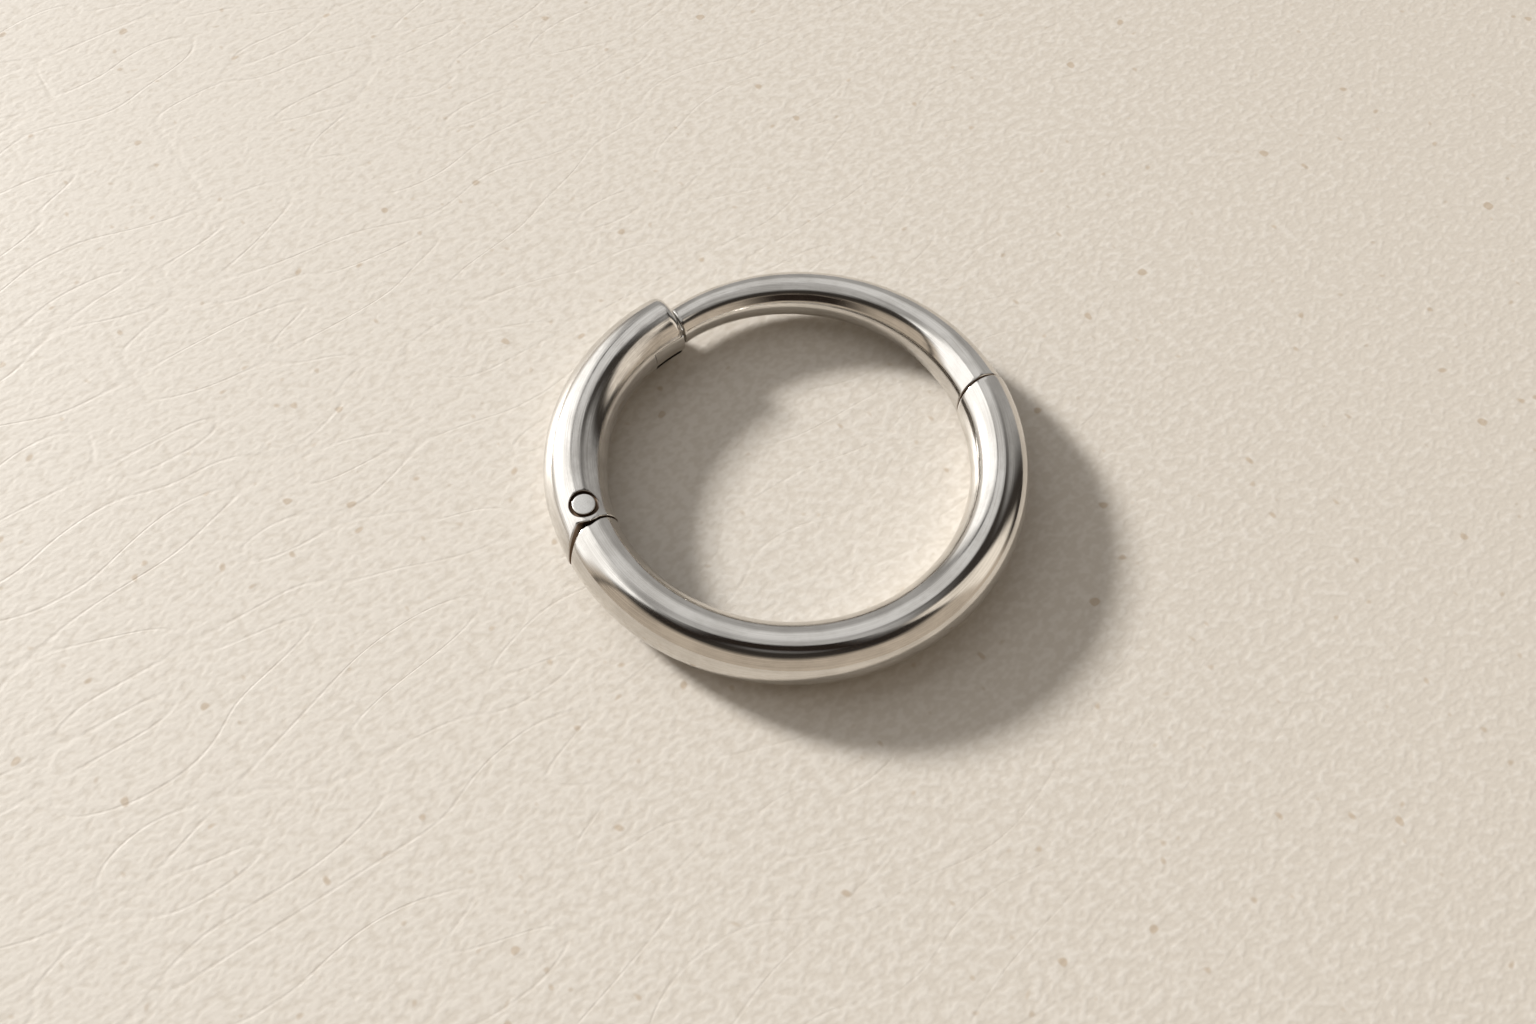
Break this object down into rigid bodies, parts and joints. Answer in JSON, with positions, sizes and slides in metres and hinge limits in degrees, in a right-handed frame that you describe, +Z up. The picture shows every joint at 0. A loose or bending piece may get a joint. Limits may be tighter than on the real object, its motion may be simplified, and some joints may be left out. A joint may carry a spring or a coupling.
{
  "type": "clicker hoop",
  "caption": "Polished steel hinged hoop ring for a piercing: a thick gate swings outward on a riveted hinge and snaps over the tongue at the tip of a tapering ear wire",
  "frame": {"origin": "On the surface that the hoop lies on, under the middle of its outline", "axes": "+Z up, along the ring's own axis; +X to the right towards the wire's seam, with the gate at -X; +Y towards the ear wire"},
  "size_m": [0.0106, 0.0103, 0.0014],
  "materials": {
    "body_steel": "polished, with fine scratches along the bar",
    "wire_steel": "polished, with fine scratches along the wire",
    "gate_steel": "polished, with fine scratches along the bar",
    "pin_steel": "satin, ground flat"
  },
  "bodies": {
    "hoop": {"hoop_body": "body_steel", "ear_wire": "wire_steel"},
    "gate": {"clicker_gate": "gate_steel", "hinge_pin": "pin_steel"}
  },
  "joints": [
    {"name": "gate_hinge", "type": "hinge", "parent": "hoop", "child": "gate", "pos_m": [-0.00422, -0.00164, 0.00069], "axis": [0, 0, 1], "range_deg": [0, 25]}
  ]
}
